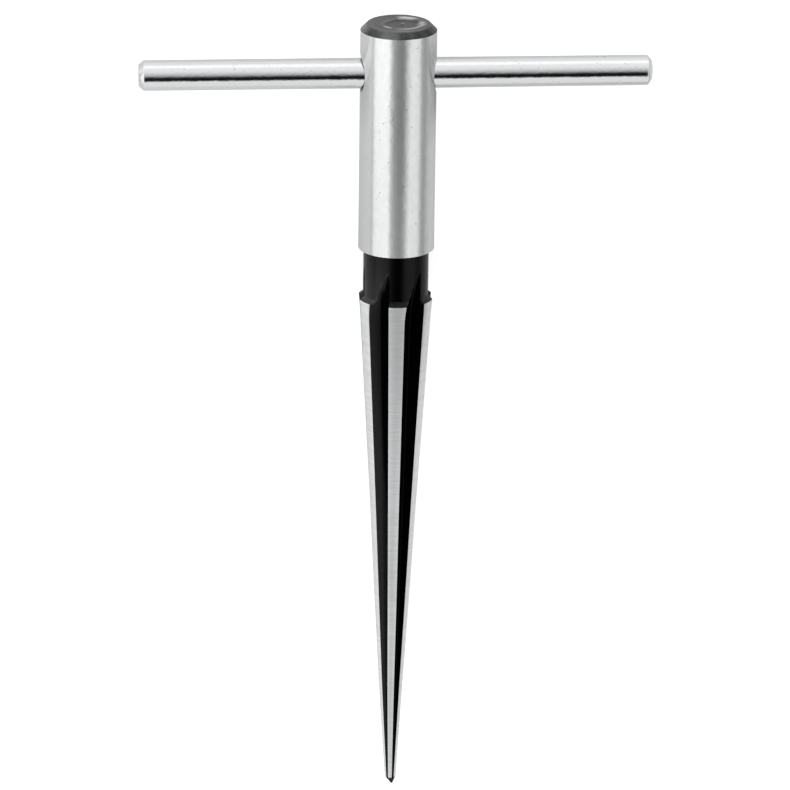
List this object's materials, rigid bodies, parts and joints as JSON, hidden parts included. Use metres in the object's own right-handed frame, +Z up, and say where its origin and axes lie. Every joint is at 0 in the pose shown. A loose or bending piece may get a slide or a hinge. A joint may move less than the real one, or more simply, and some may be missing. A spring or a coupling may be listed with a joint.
{
  "type": "taper reamer",
  "caption": "Hand taper reamer with straight flutes, a round head and a fixed cross bar, for enlarging and tapering holes in sheet metal, wood and plastic by turning.",
  "frame": {"origin": "on the floor, under the middle of the tool's bounding box: halfway along its length and under the middle of the cross bar", "axes": "+Y along the tool's axis from the point towards the head, X along the cross bar, +Z up from the surface that the head lies on"},
  "size_m": [0.0878, 0.141, 0.0131],
  "materials": {
    "tool_steel": "ground bright on the head's side and on the lands, black from hardening on the top face, the neck, the shoulder and in the flutes",
    "polished_steel": "polished bright, with fine pits"
  },
  "bodies": {
    "root": {"reamer_body": "tool_steel", "handle_bar": "polished_steel"}
  },
  "joints": []
}
